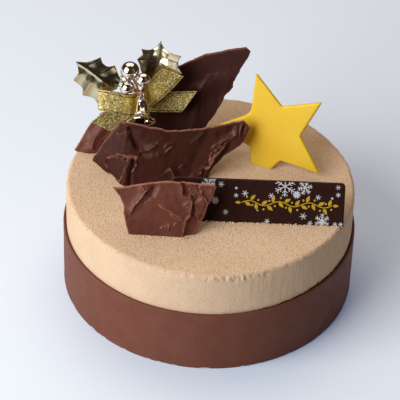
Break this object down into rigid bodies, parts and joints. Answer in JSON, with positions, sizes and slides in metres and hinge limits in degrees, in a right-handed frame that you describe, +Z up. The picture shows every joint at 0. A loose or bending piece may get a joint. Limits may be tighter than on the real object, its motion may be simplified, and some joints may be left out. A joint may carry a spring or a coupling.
{
  "type": "round mousse cake",
  "caption": "Round coffee-coloured mousse cake with a dark chocolate band, topped with a yellow star, a printed chocolate plaque, chocolate shards and a gilt holly pick.",
  "frame": {"origin": "centre of the cake's flat base, on its axis", "axes": "+Z up along the cake's axis, -Y toward the front, where the plaque and the front shard face, +X to the viewer's right"},
  "size_m": [0.15, 0.15, 0.1187],
  "materials": {
    "mousse": "coffee mousse with a sprayed velvet skin, matt and finely grained",
    "band_chocolate": "satin dark chocolate strip",
    "yellow_chocolate": "satin coloured chocolate with an airbrushed deeper yellow",
    "plaque_chocolate": "smooth dark chocolate, half gloss",
    "shard_chocolate": "ruffled dark chocolate, satin with shiny ridges",
    "gilt": "vacuum-plated pale gold",
    "ribbon": "gold lame ribbon, woven glitter",
    "pick_plastic": "pale green translucent plastic",
    "white_print": "white cocoa-butter print",
    "gold_print": "gold cocoa-butter print"
  },
  "bodies": {
    "root": {"mousse_body": "mousse", "chocolate_band": "band_chocolate", "star": "yellow_chocolate", "plaque": "plaque_chocolate", "shard_front": "shard_chocolate", "shard_middle": "shard_chocolate", "shard_back": "shard_chocolate", "shard_left": "shard_chocolate", "leaf_left": "gilt", "leaf_right": "gilt", "berry_top": "gilt", "berry_right": "gilt", "berry_low": "gilt", "berry_left": "gilt", "bell": "gilt", "bell_clapper": "gilt", "ribbon_loop_left": "ribbon", "ribbon_loop_right": "ribbon", "ribbon_tail_left": "ribbon", "ribbon_tail_right": "ribbon", "ribbon_knot": "ribbon", "pick_stem": "pick_plastic"}
  },
  "joints": []
}
